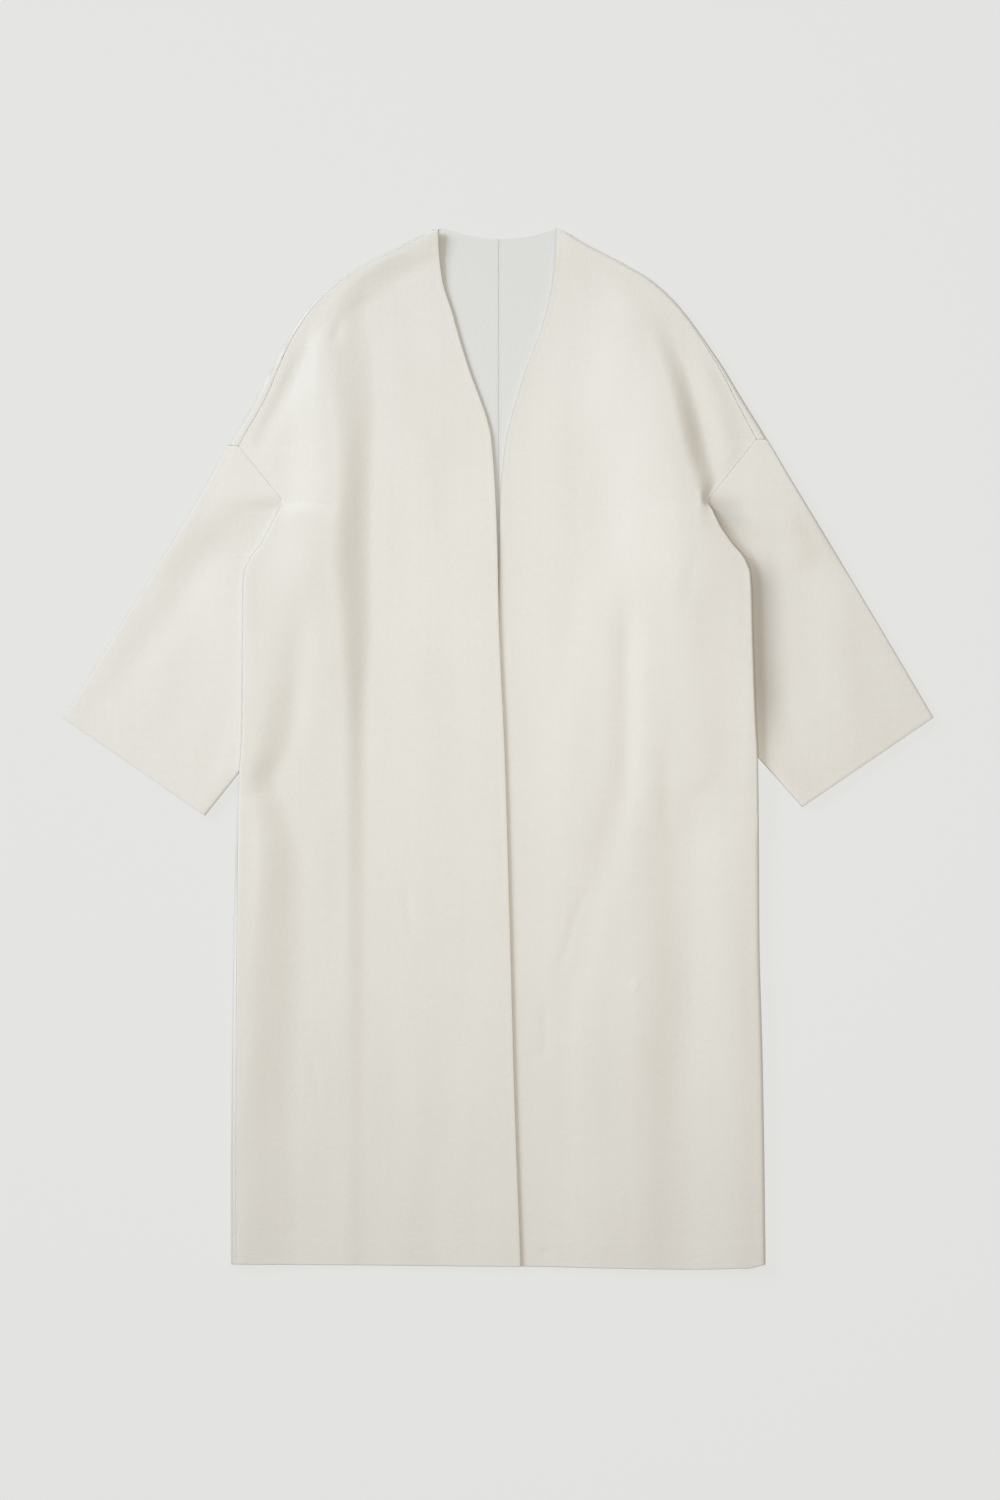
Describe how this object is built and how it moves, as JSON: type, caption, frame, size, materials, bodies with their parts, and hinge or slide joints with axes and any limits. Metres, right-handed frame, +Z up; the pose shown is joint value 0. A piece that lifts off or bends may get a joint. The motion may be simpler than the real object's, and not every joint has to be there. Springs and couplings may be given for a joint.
{
  "type": "long cardigan",
  "caption": "Long collarless open-front cardigan of felted off-white wool with wide dropped sleeves, laid flat on its back with one front lapping the other.",
  "frame": {"origin": "middle of the garment's outline, on the surface that it lies on", "axes": "+Y from the hem to the neck, +Z up out of the surface towards the viewer, +X to the wearer's left"},
  "size_m": [0.9158, 1.0957, 0.0179],
  "materials": {
    "wool": "matte felted wool, off-white"
  },
  "bodies": {
    "root": {"back_left": "wool", "back_right": "wool", "front_left": "wool", "front_right": "wool", "sleeve_left": "wool", "sleeve_right": "wool"}
  },
  "joints": []
}
